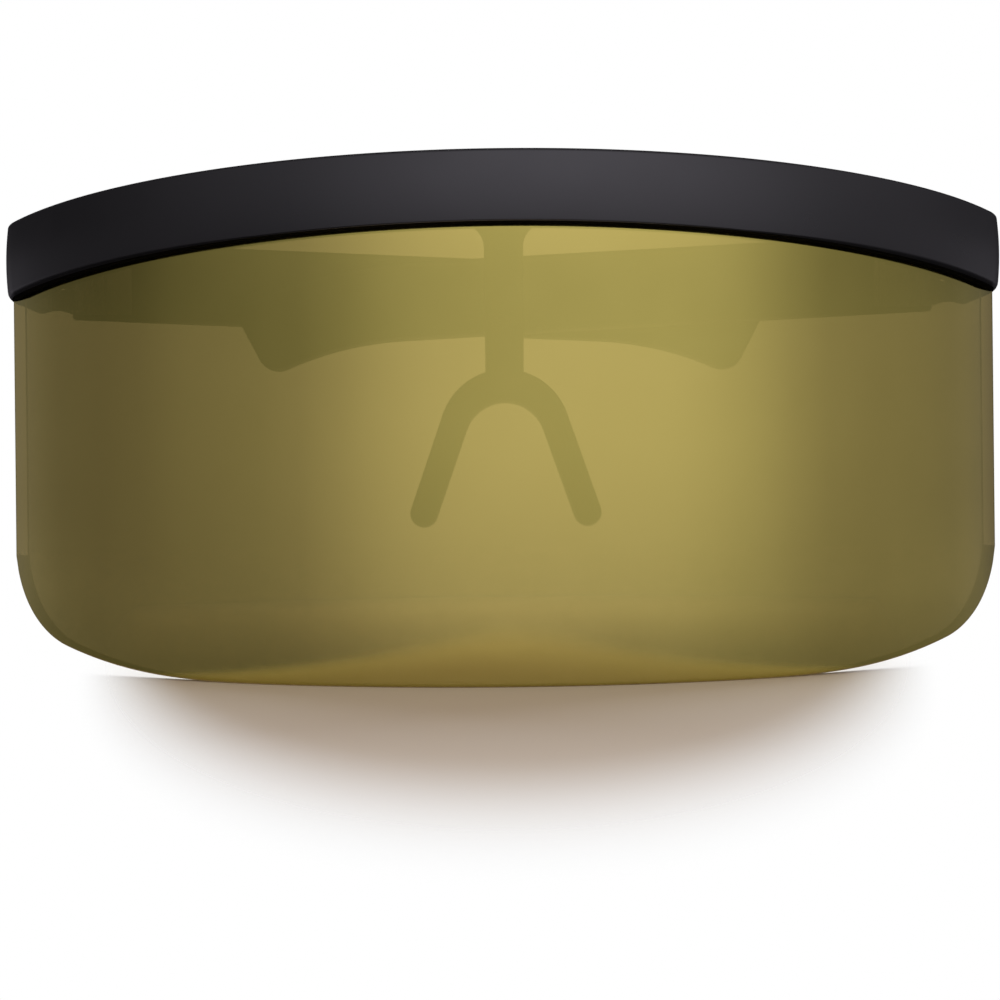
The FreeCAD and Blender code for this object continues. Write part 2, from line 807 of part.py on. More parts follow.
def make_temple(label, side):
    """A flat arm that slopes down from the hinge and hooks over the ear, drawn open."""
    name = f"temple_{label}"
    body = new_body(f"{name}_body")
    view = sketch_on(body, "YZ_Plane", f"{name}_side_view", temple_inner * side)
    slope, hook = S.temple_slope_angle, S.temple_slope_angle + S.hook_angle
    top_start = brow_end_top + S.temple_rise
    low_start = top_start - S.temple_height
    bend_y = temple_butt + S.temple_straight * cosine(slope)
    bend_z = low_start - S.temple_straight * sine(slope)
    centre_y = bend_y - S.hook_radius * sine(slope)
    centre_z = bend_z - S.hook_radius * cosine(slope)
    top_radius = S.hook_radius + S.temple_height * cosine(slope)
    end_low = centre_z + S.hook_radius * cosine(hook)
    end_top = centre_z + top_radius * cosine(hook)
    draw(view, [
        (temple_butt, low_start),
        (bend_y, bend_z),
        (centre_y + S.hook_radius * sine(hook), end_low, S.hook_radius, -1),
        (centre_y + top_radius * sine(hook), end_top),
        (centre_y + top_radius * sine(slope), centre_z + top_radius * cosine(slope), top_radius, 1),
        (temple_butt, top_start),
    ])
    arm = pad(body, view, S.temple_thickness, f"{name}_blank", reverse=side < 0)

    blunt = round_edges(
        body, arm, S.tip_low_round, f"{name}_tip_low",
        lambda edge: is_level(edge) and near(middle(edge).z, end_low.value))
    blunt = round_edges(
        body, blunt, S.tip_top_round, f"{name}_tip_top",
        lambda edge: is_level(edge) and near(middle(edge).z, end_top.value))
    round_edges(
        body, blunt, S.temple_edge_round, f"{name}_edges",
        lambda edge: not is_level(edge) and not near(middle(edge).y, temple_butt.value))

    seat = sketch_on(body, "YZ_Plane", f"{name}_leaf_seat", temple_inner * side)
    front = temple_butt + S.temple_butt_gap - S.leaf_clearance
    rear = temple_butt + S.temple_butt_gap + S.leaf_length + S.leaf_clearance
    low_edge = hinge_low - S.leaf_clearance
    top_edge = hinge_top + S.leaf_clearance
    draw(seat, [(front, low_edge), (rear, low_edge), (rear, top_edge), (front, top_edge)])
    pocket(body, seat, S.leaf_thickness + S.leaf_clearance, f"{name}_leaf_pocket", side > 0)

    holes = rivet_holes(f"{name}_rivet_hole", side, temple_inner, temple_rivets())
    return keep(cut(f"{name}_drilled", body, holes), name)


def fold(items, side):
    """Swing finished sub-parts about the hinge pin, from open to the folded rest."""
    turn = S.fold_angle.value * side + fold_lean.value
    centre = FreeCAD.Vector(pin_x.value * side, pin_y.value, 0)
    swing = FreeCAD.Rotation(FreeCAD.Vector(0, 0, 1), turn)
    for item in items:
        item.Placement = FreeCAD.Placement(FreeCAD.Vector(0, 0, 0), swing, centre)


def make_lens_screws():
    screws = []
    for index, angle in enumerate(lens_screw_stations(), start=1):
        seat = arc_spot(brow_back_radius - S.seat_clearance, angle, lens_screw_height())
        length = groove_front_radius + S.lens_screw_bite - brow_back_radius
        screws.append(fastener(
            f"lens_screw_{index}", seat, along_arc(angle),
            (S.small_screw_radius, length), SMALL_HEAD, SMALL_SLOT))
    return keep(group("lens_screw_set", screws), "lens_screws")


def make_nose_screws():
    screws = [
        fastener(
            f"nose_screw_{label}",
            [S.nose_screw_half_pitch * side, nose_foot_back() + S.fastener_clearance,
             nose_screw_height()],
            [ZERO, as_size(-1), ZERO],
            (S.small_screw_radius, S.nose_foot_thickness + S.nose_screw_bite), SMALL_HEAD, SMALL_SLOT)
        for label, side in SIDES.items()
    ]
    return keep(group("nose_screw_set", screws), "nose_screws")


def check_document():
    """Stop if any object failed or any sub-part is empty or invalid."""
    failed = [item.Name for item in doc.Objects if {"Invalid", "Error"} & set(item.State)]
    if failed:
        raise RuntimeError(f"failed objects: {failed}")
    for item in made:
        if item.Shape.isNull() or not item.Shape.isValid() or not item.Shape.Solids:
            raise RuntimeError(f"bad shape: {item.Label}")


make_lens()
make_brow_bar()
make_nose_piece()
make_lens_screws()
make_nose_screws()
for label, side in SIDES.items():
    make_front_hinge(label, side)
    make_hinge_screw(label, side)
    make_rivets(f"front_hinge_rivets_{label}", side, end_piece_inner, front_rivets())
    swung = [
        make_temple_hinge(label, side),
        make_temple(label, side),
        make_rivets(f"temple_hinge_rivets_{label}", side, temple_inner, temple_rivets()),
    ]
    doc.recompute()
    fold(swung, side)
doc.recompute()
check_document()

os.makedirs("parts", exist_ok=True)
for item in made:
    item.Shape.exportStep(f"parts/{item.Label}.step")
    bounds = item.Shape.BoundBox
    print(f"{item.Label}: {len(item.Shape.Solids)} solids, {item.Shape.Volume:.1f} mm3, "
          f"X {bounds.XMin:.2f} {bounds.XMax:.2f}, Y {bounds.YMin:.2f} {bounds.YMax:.2f}, "
          f"Z {bounds.ZMin:.2f} {bounds.ZMax:.2f}")
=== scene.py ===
"""Studio picture of a pair of shield sunglasses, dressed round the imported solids.

Everything is in metres in the frame's own axes: +X to the wearer's left, +Y towards the wearer, +Z up.
The brow bar, the lens and the nose piece are rebuilt here with fine, softened meshes. The other solids
keep their shape and get procedural materials.
"""
import json
import math

import bmesh
import bpy
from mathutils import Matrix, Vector


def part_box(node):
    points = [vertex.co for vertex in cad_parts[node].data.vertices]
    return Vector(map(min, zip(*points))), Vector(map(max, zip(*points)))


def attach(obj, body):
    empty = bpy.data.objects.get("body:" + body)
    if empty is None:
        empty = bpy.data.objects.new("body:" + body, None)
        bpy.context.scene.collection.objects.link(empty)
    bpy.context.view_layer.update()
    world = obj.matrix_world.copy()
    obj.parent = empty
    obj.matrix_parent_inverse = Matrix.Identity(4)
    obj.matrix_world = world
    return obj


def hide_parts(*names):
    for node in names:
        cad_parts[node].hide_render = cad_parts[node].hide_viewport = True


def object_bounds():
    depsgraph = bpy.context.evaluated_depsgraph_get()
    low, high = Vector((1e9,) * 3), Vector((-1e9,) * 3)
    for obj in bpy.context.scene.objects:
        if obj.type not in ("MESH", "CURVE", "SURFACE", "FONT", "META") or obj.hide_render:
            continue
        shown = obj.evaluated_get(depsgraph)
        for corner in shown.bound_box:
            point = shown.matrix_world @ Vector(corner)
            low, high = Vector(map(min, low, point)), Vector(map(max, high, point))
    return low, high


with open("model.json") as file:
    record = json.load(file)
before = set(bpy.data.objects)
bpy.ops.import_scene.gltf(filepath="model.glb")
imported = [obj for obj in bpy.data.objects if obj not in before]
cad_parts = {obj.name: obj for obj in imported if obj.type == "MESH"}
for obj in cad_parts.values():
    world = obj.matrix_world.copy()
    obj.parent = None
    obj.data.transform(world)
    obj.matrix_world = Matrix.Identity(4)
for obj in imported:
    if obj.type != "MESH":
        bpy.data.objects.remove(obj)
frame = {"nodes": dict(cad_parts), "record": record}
cad_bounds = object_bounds()

MM = 0.001
QUARTER = math.pi / 2

# Lens: the solid's wrap and lower outline, with slightly fuller corners and softened edges.
LENS_WRAP = math.radians(57)
LENS_THICKNESS = 2.0 * MM
LENS_STRAIGHT_HALF = 30.0 * MM
LENS_SWEEP_RADIUS = 156.0 * MM
LENS_CORNER_RUN = 12.05 * MM
LENS_CORNER_FULLNESS = 0.55 * MM
LENS_SIDE_SPARE = 0.2 * MM
LENS_SIDE_STEP = 0.5 * MM
LENS_EDGE_ROUND = 0.2 * MM
LENS_EDGE_ANGLE = math.radians(50)
LENS_EDGE_SEGMENTS = 3
LENS_STRAIGHT_STEPS = 60
LENS_SWEEP_STEPS = 40
LENS_CORNER_STEPS = 26
LENS_ROWS = 40
COAT_SLOT, BACK_SLOT, RIM_SLOT = range(3)

# Brow bar: the solid's plan with slightly slimmer arches, a crowned front, crisp edges and a lower lip whose
# downward faces get a darker, duller copy of the plastic as painted shade.
AXIS_Y = 76.44 * MM
BROW_RADIUS = 92.44 * MM
BROW_BACK_RADIUS = 86.54 * MM
BROW_CORNER_RADIUS = 14.0 * MM
BROW_CROWN_TRIM = 0.35 * MM
BROW_TOP_DROOP = 2.05 * MM
BROW_LOW_DROOP = 4.25 * MM
BROW_DEPTH = 9.35 * MM
BROW_END_THICKNESS = 3.8 * MM
BROW_SWELL = 0.25 * MM
BROW_CROWN_RADIUS = 48.0 * MM
BROW_TOP_ROUND = 0.5 * MM
BROW_LOW_ROUND = 0.25 * MM
BROW_END_LOW_ROUND = 1.5 * MM
BROW_LOW_ROUND_ANGLES = (math.radians(20), math.radians(62))
BROW_BACK_ROUND = 0.5 * MM
BROW_FACE_ROWS = 16
BROW_ROUND_STEPS = 5
BROW_ARC_STEPS = 150
BROW_CORNER_STEPS = 24
BROW_END_STEPS = 12
GROOVE_FRONT_RADIUS = 90.54 * MM
GROOVE_BACK_RADIUS = 88.34 * MM
GROOVE_WRAP = math.radians(57.06)
GROOVE_TOP = 27.5 * MM
LEAF_POCKET_DEPTH = 0.95 * MM
LEAF_POCKET_FRONT = 31.43 * MM
LEAF_POCKET_LOW = 18.325 * MM
LEAF_POCKET_HIGH = 28.425 * MM
OVERCUT = 1.0 * MM
WELD = 0.005 * MM
LIP_NORMAL_SHARE = -0.8
SHARP_ANGLE = math.radians(32)
FACE_SLOT, LIP_SLOT = range(2)

# Nose piece: the solid's outline with rounded edges and a smoothed bend.
NOSE_FOOT_HALF = 5.5 * MM
NOSE_FOOT_HEIGHT = 7.35 * MM
NOSE_FOOT_THICKNESS = 2.2 * MM
NOSE_STEM_HALF = 2.6 * MM
NOSE_ARCH_RADIUS = 9.1 * MM
NOSE_ARCH_CROWN = 4.5 * MM
NOSE_INNER_RADIUS = 5.6 * MM
NOSE_SPLAY = math.radians(19.5)
NOSE_LEG_LENGTH = 13.7 * MM
NOSE_LEG_LEAN_SHARE = 0.153
NOSE_RIBBON = 2.6 * MM
NOSE_EDGE_ROUND = 0.8 * MM
NOSE_EDGE_PROFILE_SHARE = 0.5
NOSE_EDGE_SEGMENTS = 4
NOSE_BEND_SMOOTH = 3.0 * MM
NOSE_SLICE = 0.6 * MM
NOSE_ARC_STEPS = 20

# Finishes: grain counts noise cells to the metre; tones and roughness run between two ends.
WHITE = (1.0, 1.0, 1.0)
NOISE_SHARES = (0.3, 0.7)
GRAIN_DETAIL = 3.0
GRAIN_DEPTH = 0.02 * MM
EVEN_STRETCH_SHARES = (1.0, 1.0, 1.0)
FACING_BLEND_SHARE = 0.5
FILM_GRAIN = 60.0
LENS_TINT = (0.62, 0.52, 0.33)
# Painted shade: the lens's coat and tint darken over this height above its lower edge.
LENS_LOW_SHADE_SHARE = 0.68
LENS_LOW_SHADE_HEIGHT = 13.0 * MM
COAT_TONES = ((0.73, 0.64, 0.15), (0.77, 0.675, 0.163))
COAT_ROUGHNESS = (0.07, 0.12)
COAT_MIRROR_SHARES = (0.7, 0.84)
COAT_SLANT_SHARE = 0.13
BACK_TONES = ((0.09, 0.064, 0.018), (0.11, 0.076, 0.022))
BACK_ROUGHNESS = (0.06, 0.1)
BACK_MIRROR_SHARES = (0.04, 0.3)
BACK_SLANT_SHARE = 0.55
RIM_GRAIN = 900.0
RIM_TONES = ((0.16, 0.12, 0.05), (0.2, 0.155, 0.07))
RIM_ROUGHNESS = (0.15, 0.3)
RIM_GLOW_SHARE = 0.6
PLASTIC_FINE_GRAIN = 5000.0
PLASTIC_BROAD_GRAIN = 120.0
PLASTIC_TONES = ((0.003, 0.0029, 0.0033), (0.0045, 0.0043, 0.0049))
PLASTIC_ROUGHNESS = (0.27, 0.32)
PLASTIC_GLOSS_SHARE = 1.0
PLASTIC_DENT_SHARE = 0.15
# Painted shade: a darker, nearly glossless copy of the plastic for the brow bar's downward faces.
LIP_GRAIN = 2500.0
LIP_PAINTED_SHADE_TONES = ((0.0015, 0.0015, 0.0016), (0.0025, 0.0024, 0.0026))
LIP_ROUGHNESS = (0.75, 0.9)
LIP_GLOSS_SHARE = 0.05
LIP_DENT_SHARE = 0.2
STEEL_GRAIN = 900.0
STEEL_STRETCH_SHARES = (1.0, 1.0, 0.06)
STEEL_TONES = ((0.5, 0.5, 0.51), (0.62, 0.62, 0.63))
STEEL_ROUGHNESS = (0.22, 0.38)
STEEL_DENT_SHARE = 0.2
FLOOR_COLOUR = (0.92, 0.9, 0.88)
FLOOR_ROUGHNESS = 0.6

# Camera: level in front of the lens, for a square picture.
CAMERA_STANDOFF = 214.0 * MM
CAMERA_HEIGHT = -13.3 * MM
CAMERA_SIDE = -0.8 * MM
CAMERA_ROLL = math.radians(-0.6)
CAMERA_NEAR = 1.0 * MM
FOCAL_PIXELS = 1557.0
IMAGE_PIXELS = 1000.0
SENSOR = 36.0

# Floor: its shadow side fades out along a parabola in front of the lens, the rest of it in a ring.
FLOOR_SIZE = 1.2
FLOOR_FADE = (66.0 * MM, 118.0 * MM)
FLOOR_FADE_LENGTH = 30.0 * MM
FLOOR_RING = (0.12, 0.2)

# Key light: wide and low, behind the object.
KEY_PLACE = (0.03, 0.63, 0.41)
KEY_TARGET = (0.0, 0.0, -0.03)
KEY_WIDTH = 1.8
KEY_HEIGHT = 0.2
KEY_POWER = 17.0
KEY_COLOUR = (0.92, 0.97, 1.0)

# Surroundings: a soft panel in front of the lens, turned a little to the viewer's right, a pale glow on both
# sides from behind, and the pale table further off. Levels go by the degrees from the middle of each, and
# rise shares by height: the upward share of the way that the light comes from.
PANEL_TURN = math.radians(14)
PANEL_LEVELS = (
    (180, 0.03), (122, 0.045), (107, 0.08), (95, 0.118), (84, 0.2), (75, 0.25), (66, 0.295), (56, 0.36),
    (47, 0.505), (38, 0.69), (30, 0.82), (20, 0.935), (0, 0.99))
PANEL_RISE_SHARES = (
    (-1.0, 0.1), (-0.19, 0.1), (-0.117, 0.25), (-0.09, 0.35), (-0.07, 0.43), (-0.03, 0.532), (0.035, 0.65),
    (0.14, 0.66), (0.22, 0.85), (0.36, 1.0), (1.0, 1.0))
GLOW_TURN = math.radians(175)
GLOW_LEVELS = (
    (180, 0.0), (125, 0.02), (104, 0.06), (92, 0.075), (77, 0.125), (60, 0.21), (52, 0.2), (40, 0.08),
    (25, 0.015), (0, 0.01))
GLOW_RISE_SHARES = (
    (-1.0, 0.05), (-0.19, 0.05), (-0.13, 1.0), (0.0, 0.65), (0.12, 0.65), (0.15, 0.3), (0.18, 0.06),
    (1.0, 0.04))
TABLE_TURN = 0.0
TABLE_LEVELS = ((180, 0.06), (60, 0.06), (35, 0.05), (18, 0.02), (0, 0.0))
TABLE_RISE_SHARES = (
    (-1.0, 0.1), (-0.19, 0.1), (-0.13, 1.0), (-0.1, 1.0), (-0.09, 0.75), (-0.075, 0.2), (-0.06, 0.0),
    (1.0, 0.0))
STUDIO_TINT = (1.0, 0.95, 1.07)
# Even light from all round on matt surfaces, and the plain strength at which white is white.
FILL_COLOUR = (0.41, 0.305, 0.227)
BACKGROUND_STRENGTH = 1.0


def new_object(name, data):
    """An object in the scene for a mesh, light or camera."""
    item = bpy.data.objects.new(name, data)
    bpy.context.scene.collection.objects.link(item)
    return item


def limited(share):
    """A share held between 0 and 1."""
    return max(0.0, min(1.0, share))


def arc(centre, radius, start, end, steps):
    """Points of an arc in a front view, both ends included; angles from +X towards +Z."""
    angles = [start + (end - start) * i / steps for i in range(steps + 1)]
    return [(centre[0] + radius * math.cos(a), centre[1] + radius * math.sin(a)) for a in angles]


def mesh_of(name, bm):
    """The finished mesh of one that was being built."""
    mesh = bpy.data.meshes.new(name)
    bm.to_mesh(mesh)
    bm.free()
    return mesh


def front_piece(name, mesh, materials, node):
    """A smooth piece that rides on the front in place of a CAD node."""
    for material in materials:
        mesh.materials.append(material)
    for polygon in mesh.polygons:
        polygon.use_smooth = True
    piece = new_object(name, mesh)
    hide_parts(node)
    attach(piece, "front")
    return piece


def keep_flats(piece):
    """Let the large faces of a piece shade flat, with only its rounded edges between them bent."""
    flats = piece.modifiers.new("flats", "WEIGHTED_NORMAL")
    flats.keep_sharp = True


def lens_low_edge(side, drop):
    """Right half of the lens's lower outline, from the middle to the side, as (x, z)."""
    run = side + LENS_SIDE_SPARE - LENS_STRAIGHT_HALF - LENS_CORNER_RUN
    lean = math.asin(run / LENS_SWEEP_RADIUS)
    corner = LENS_CORNER_RUN / (1 - math.sin(lean))
    straight = [(LENS_STRAIGHT_HALF * i / LENS_STRAIGHT_STEPS, drop) for i in range(LENS_STRAIGHT_STEPS)]
    sweep_centre = (LENS_STRAIGHT_HALF, drop + LENS_SWEEP_RADIUS)
    sweep = arc(sweep_centre, LENS_SWEEP_RADIUS, -QUARTER, lean - QUARTER, LENS_SWEEP_STEPS)
    end_x, end_z = sweep[-1]
    corner_centre = (end_x - corner * math.sin(lean), end_z + corner * math.cos(lean))
    stop = math.acos((side - corner_centre[0]) / corner)
    corner_arc = arc(corner_centre, corner, lean - QUARTER, -stop, LENS_CORNER_STEPS)
    spaced = [point for point in corner_arc[1:-1] if side - point[0] > LENS_SIDE_STEP]

    def fuller(x, z):
        share = limited((x - LENS_STRAIGHT_HALF) / (side - LENS_STRAIGHT_HALF))
        return x, z - LENS_CORNER_FULLNESS * math.sin(math.pi * share) ** 2

    return [fuller(x, z) for x, z in straight + sweep + spaced + corner_arc[-1:]]


def bent_sheet(columns, top, place):
    """A closed sheet of upright columns: a front and a back grid of points, joined along their edges."""
    bm = bmesh.new()
    grids = []
    for depth in (0.0, LENS_THICKNESS):
        grid = []
        for x, z in columns:
            heights = [z + (top - z) * row / LENS_ROWS for row in range(LENS_ROWS + 1)]
            grid.append([bm.verts.new(place(x, height, depth)) for height in heights])
        grids.append(grid)
    front, back = grids
    last = len(columns) - 1

    def add(slot, *corners):
        bm.faces.new(corners).material_index = slot

    for i in range(last):
        for j in range(LENS_ROWS):
            add(COAT_SLOT, front[i][j], front[i + 1][j], front[i + 1][j + 1], front[i][j + 1])
            add(BACK_SLOT, back[i][j], back[i][j + 1], back[i + 1][j + 1], back[i + 1][j])
        add(RIM_SLOT, front[i][0], back[i][0], back[i + 1][0], front[i + 1][0])
        add(RIM_SLOT, front[i + 1][-1], back[i + 1][-1], back[i][-1], front[i][-1])
    for j in range(LENS_ROWS):
        add(BACK_SLOT, front[0][j], front[0][j + 1], back[0][j + 1], back[0][j])
    for j in range(LENS_ROWS):
        add(BACK_SLOT, back[last][j], back[last][j + 1], front[last][j + 1], front[last][j])
    return bm


def make_lens():
    """A bent sheet with softened edges: a coated front, a polished rim and a tinted back."""
    low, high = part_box("lens")
    radius = high.x / math.sin(LENS_WRAP)
    axis_y = low.y + radius
    half = lens_low_edge(high.x, low.z)
    columns = [(-x, z) for x, z in reversed(half[1:])] + half

    def place(x, z, depth):
        angle = math.asin(x / radius)
        reach = radius - depth
        return reach * math.sin(angle), axis_y - reach * math.cos(angle), z

    mesh = mesh_of("lens_shield", bent_sheet(columns, high.z, place))
    materials = (mirror_coat(low.z), lens_back(), lens_rim())
    lens = front_piece("lens_shield", mesh, materials, "lens")
    soften = lens.modifiers.new("edge", "BEVEL")
    soften.width = LENS_EDGE_ROUND
    soften.segments = LENS_EDGE_SEGMENTS
    soften.limit_method = "ANGLE"
    soften.angle_limit = LENS_EDGE_ANGLE
    soften.harden_normals = True
    soften.material = RIM_SLOT


def arch(crown, droop, x):
    """Height of an arch that falls by droop from the middle to the brow bar's ends."""
    half = cad_bounds[1][0]
    radius = (half * half + droop * droop) / (2 * droop)
    return crown - radius + math.sqrt(radius * radius - x * x)


def brow_path(half, rear):
    """Outer plan of the brow bar from the right end round to the left one, as (x, y, normal angle)."""
    across = half - BROW_CORNER_RADIUS
    reach = BROW_RADIUS - BROW_CORNER_RADIUS
    centre_y = AXIS_Y - math.sqrt(reach * reach - across * across)
    bend = math.asin(across / reach)
    ends = [(half, rear + (centre_y - rear) * i / BROW_END_STEPS, QUARTER) for i in range(BROW_END_STEPS)]
    corners = []
    for i in range(BROW_CORNER_STEPS):
        angle = QUARTER + (bend - QUARTER) * i / BROW_CORNER_STEPS
        corners.append((across + BROW_CORNER_RADIUS * math.sin(angle),
                        centre_y - BROW_CORNER_RADIUS * math.cos(angle), angle))
    arc_angles = [bend - 2 * bend * i / BROW_ARC_STEPS for i in range(BROW_ARC_STEPS + 1)]
    front = [(BROW_RADIUS * math.sin(a), AXIS_Y - BROW_RADIUS * math.cos(a), a) for a in arc_angles]
    right = ends + corners
    left = [(-x, y, -angle) for x, y, angle in reversed(right)]
    return right + front + left


def brow_thickness(x, y, angle, inner):
    """Way from the outer wall straight in to the hollow back, or to the end piece's flat inner face."""
    in_x, in_y = -math.sin(angle), math.cos(angle)
    flat = (abs(x) - inner) / abs(in_x) if abs(x) > inner and in_x else 0.0
    off_y = y - AXIS_Y
    along = x * in_x + off_y * in_y
    spare = along * along - (x * x + off_y * off_y - BROW_BACK_RADIUS * BROW_BACK_RADIUS)
    hollow = -along - math.sqrt(spare) if spare > 0 else 0.0
    return max(flat, hollow)


def brow_section(x, angle, thickness, crown):
    """One closed section of the brow bar as (way in, height), from the lower lip up the front and over."""
    def heights(way_in):
        spot = x - math.sin(angle) * way_in
        return arch(crown - BROW_DEPTH, BROW_LOW_DROOP, spot), arch(crown, BROW_TOP_DROOP, spot)

    low, top = heights(0.0)
    middle = (low + top) / 2
    swell = BROW_SWELL * math.cos(angle) ** 2

    def face(height):
        lift = height - middle
        return BROW_CROWN_RADIUS - math.sqrt(BROW_CROWN_RADIUS ** 2 - lift ** 2) - swell

    def rounding(way_in, height, radius, start, end):
        return arc((way_in, height), radius, start, end, BROW_ROUND_STEPS)

    first, last = BROW_LOW_ROUND_ANGLES
    end_share = limited((abs(angle) - first) / (last - first))
    low_round = BROW_LOW_ROUND + (BROW_END_LOW_ROUND - BROW_LOW_ROUND) * end_share
    base, peak = low + low_round, top - BROW_TOP_ROUND
    section = rounding(face(base) + low_round, base, low_round, 3 * QUARTER, 2 * QUARTER)
    for i in range(1, BROW_FACE_ROWS):
        height = base + (peak - base) * i / BROW_FACE_ROWS
        section.append((face(height), height))
    section += rounding(face(peak) + BROW_TOP_ROUND, peak, BROW_TOP_ROUND, 2 * QUARTER, QUARTER)
    back_low, back_top = heights(thickness)
    back = thickness - BROW_BACK_ROUND
    section += rounding(back, back_top - BROW_BACK_ROUND, BROW_BACK_ROUND, QUARTER, 0)
    section += rounding(back, back_low + BROW_BACK_ROUND, BROW_BACK_ROUND, 0, -QUARTER)
    return section


def solid(name, loops):
    """A run of equal loops closed into one solid."""
    bm = bmesh.new()
    rings = [[bm.verts.new(point) for point in loop] for loop in loops]
    for first, second in zip(rings, rings[1:]):
        for i in range(len(first)):
            bm.faces.new((first[i - 1], first[i], second[i], second[i - 1]))
    bm.faces.new(rings[0])
    bm.faces.new(list(reversed(rings[-1])))
    bmesh.ops.recalc_face_normals(bm, faces=bm.faces[:])
    return new_object(name, mesh_of(name, bm))


def groove_cutter(floor_z):
    """The lens's slot: a curved slab open at the bottom."""
    corners = ((GROOVE_BACK_RADIUS, floor_z), (GROOVE_BACK_RADIUS, GROOVE_TOP),
               (GROOVE_FRONT_RADIUS, GROOVE_TOP), (GROOVE_FRONT_RADIUS, floor_z))
    angles = [GROOVE_WRAP * (2 * i / BROW_ARC_STEPS - 1) for i in range(BROW_ARC_STEPS + 1)]
    loops = [[(r * math.sin(a), AXIS_Y - r * math.cos(a), z) for r, z in corners] for a in angles]
    return solid("groove_cutter", loops)


def pocket_cutter(side, inner, rear):
    """The shallow seat of a hinge leaf in the inner face of an end piece."""
    corners = ((inner - OVERCUT, LEAF_POCKET_LOW), (inner + LEAF_POCKET_DEPTH, LEAF_POCKET_LOW),
               (inner + LEAF_POCKET_DEPTH, LEAF_POCKET_HIGH), (inner - OVERCUT, LEAF_POCKET_HIGH))
    loops = [[(side * x, y, z) for x, z in corners] for y in (LEAF_POCKET_FRONT, rear + OVERCUT)]
    return solid("pocket_cutter", loops)


def carved(body, cutters):
    """The mesh of a solid less its cutters, which are all cleared away; no point is left amid an edge."""
    for cutter in cutters:
        cut = body.modifiers.new(cutter.name, "BOOLEAN")
        cut.operation = "DIFFERENCE"
        cut.solver = "EXACT"
        cut.object = cutter
    graph = bpy.context.evaluated_depsgraph_get()
    mesh = bpy.data.meshes.new_from_object(body.evaluated_get(graph))
    mesh.materials.clear()
    for item in [body] + cutters:
        bpy.data.objects.remove(item)
    bm = bmesh.new()
    bm.from_mesh(mesh)
    bmesh.ops.remove_doubles(bm, verts=bm.verts[:], dist=WELD)
    bmesh.ops.dissolve_degenerate(bm, edges=bm.edges[:], dist=WELD)
    amid = [vert for vert in bm.verts if len(vert.link_edges) == 2]
    bmesh.ops.dissolve_verts(bm, verts=amid)
    bm.to_mesh(mesh)
    bm.free()
    return mesh


def make_brow_bar(plastic, lip):
    """A swept bar with a crowned front, a slot for the lens and seats for the hinge leaves."""
    low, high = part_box("brow_bar")
    half, rear, crown = high.x, high.y, high.z - BROW_CROWN_TRIM
    inner = half - BROW_END_THICKNESS
    loops = []
    for x, y, angle in brow_path(half, rear):
        thickness = brow_thickness(x, y, angle, inner)
        section = brow_section(x, angle, thickness, crown)
        loops.append([(x - math.sin(angle) * way, y + math.cos(angle) * way, z) for way, z in section])
    cutters = [groove_cutter(low.z - OVERCUT)] + [pocket_cutter(side, inner, rear) for side in (1, -1)]
    mesh = carved(solid("brow_blank", loops), cutters)
    mesh.name = "brow_frame"
    piece = front_piece("brow_frame", mesh, (plastic, lip), "brow_bar")
    # Faces that look down get the lip's darker copy of the plastic, as painted shade.
    for polygon in mesh.polygons:
        polygon.material_index = LIP_SLOT if polygon.normal.z < LIP_NORMAL_SHARE else FACE_SLOT
    mesh.set_sharp_from_angle(angle=SHARP_ANGLE)
    keep_flats(piece)


def nose_outline(foot_top):
    """Front view of the nose piece as a closed run of (x, z), clockwise from the foot's top."""
    foot_low = foot_top - NOSE_FOOT_HEIGHT
    flare = NOSE_FOOT_HALF - NOSE_STEM_HALF
    outer_z, inner_z = NOSE_ARCH_CROWN - NOSE_ARCH_RADIUS, -NOSE_INNER_RADIUS
    shoulder = math.acos(NOSE_STEM_HALF / NOSE_ARCH_RADIUS)
    outside = arc((0.0, outer_z), NOSE_ARCH_RADIUS, shoulder, NOSE_SPLAY, NOSE_ARC_STEPS)
    inside = arc((0.0, inner_z), NOSE_INNER_RADIUS, NOSE_SPLAY, QUARTER, NOSE_ARC_STEPS)
    leg_width = NOSE_ARCH_RADIUS - NOSE_INNER_RADIUS + (outer_z - inner_z) * math.sin(NOSE_SPLAY)
    tip_x = outside[-1][0] + NOSE_LEG_LENGTH * math.sin(NOSE_SPLAY)
    tip_z = outside[-1][1] - NOSE_LEG_LENGTH * math.cos(NOSE_SPLAY)
    tip = (tip_x - leg_width / 2 * math.cos(NOSE_SPLAY), tip_z - leg_width / 2 * math.sin(NOSE_SPLAY))
    half = [(NOSE_FOOT_HALF, foot_top)]
    half += arc((NOSE_FOOT_HALF, foot_low - flare), flare, QUARTER, 2 * QUARTER, NOSE_ARC_STEPS)
    half += outside
    half += arc(tip, leg_width / 2, NOSE_SPLAY, NOSE_SPLAY - 2 * QUARTER, NOSE_ARC_STEPS)
    half += inside
    return half + [(-x, z) for x, z in reversed(half[:-1])]


def nose_plate(low_z, high_z):
    """The nose piece before it is bent: a flat plate with rounded edges, cut across into thin slices."""
    bm = bmesh.new()
    plate = bm.faces.new([bm.verts.new((x, -NOSE_RIBBON / 2, z)) for x, z in nose_outline(high_z)])
    for item in bmesh.ops.extrude_face_region(bm, geom=[plate])["geom"]:
        if isinstance(item, bmesh.types.BMVert):
            item.co.y = NOSE_RIBBON / 2
    bm.normal_update()
    rims = [edge for edge in bm.edges if abs(edge.verts[0].co.y - edge.verts[1].co.y) < NOSE_RIBBON / 2]
    bmesh.ops.bevel(
        bm, geom=rims, offset=NOSE_EDGE_ROUND, segments=NOSE_EDGE_SEGMENTS,
        profile=NOSE_EDGE_PROFILE_SHARE, affect="EDGES")
    slices = int((high_z - low_z) / NOSE_SLICE)
    for i in range(1, slices):
        bmesh.ops.bisect_plane(
            bm, geom=bm.verts[:] + bm.edges[:] + bm.faces[:],
            plane_co=(0, 0, low_z + (high_z - low_z) * i / slices), plane_no=(0, 0, 1))
    return bm


